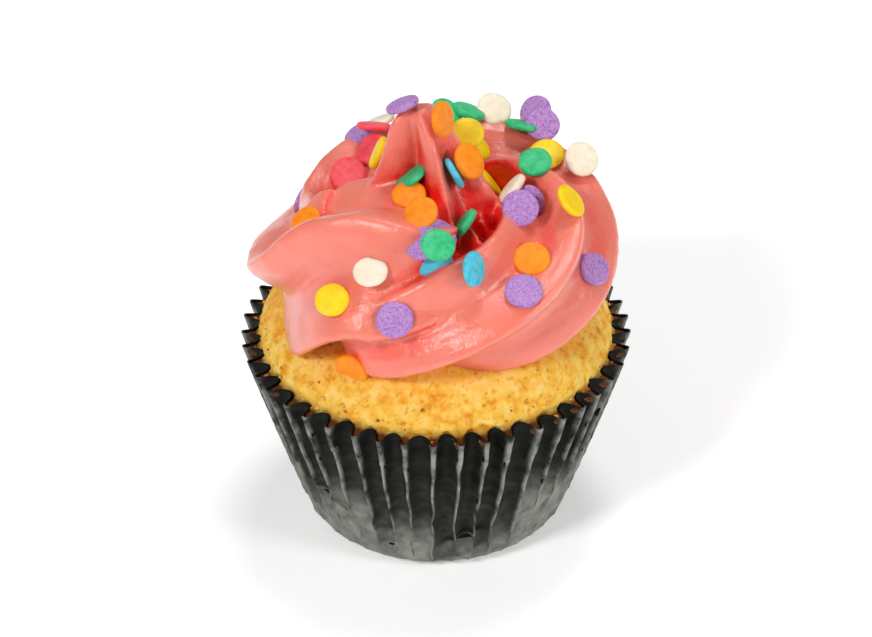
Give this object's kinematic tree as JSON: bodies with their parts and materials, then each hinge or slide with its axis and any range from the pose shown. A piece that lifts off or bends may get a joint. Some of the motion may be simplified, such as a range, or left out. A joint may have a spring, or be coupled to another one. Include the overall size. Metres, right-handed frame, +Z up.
{
  "type": "cupcake",
  "caption": "Frosted cupcake with a piped pink swirl and a pointed peak, confetti sprinkles, golden sponge and a black pleated paper case.",
  "frame": {"origin": "middle of the paper case's flat underside", "axes": "+Z up through the cupcake, +X to the right and +Y to the back as seen from its front"},
  "size_m": [0.074, 0.074, 0.0883],
  "materials": {
    "paper": "satin",
    "sponge": "matte",
    "frosting": "satin",
    "sprinkles": "matte",
    "crumbs": "matte"
  },
  "bodies": {
    "root": {"paper_case": "paper", "cake": "sponge", "frosting": "frosting"}
  },
  "joints": []
}
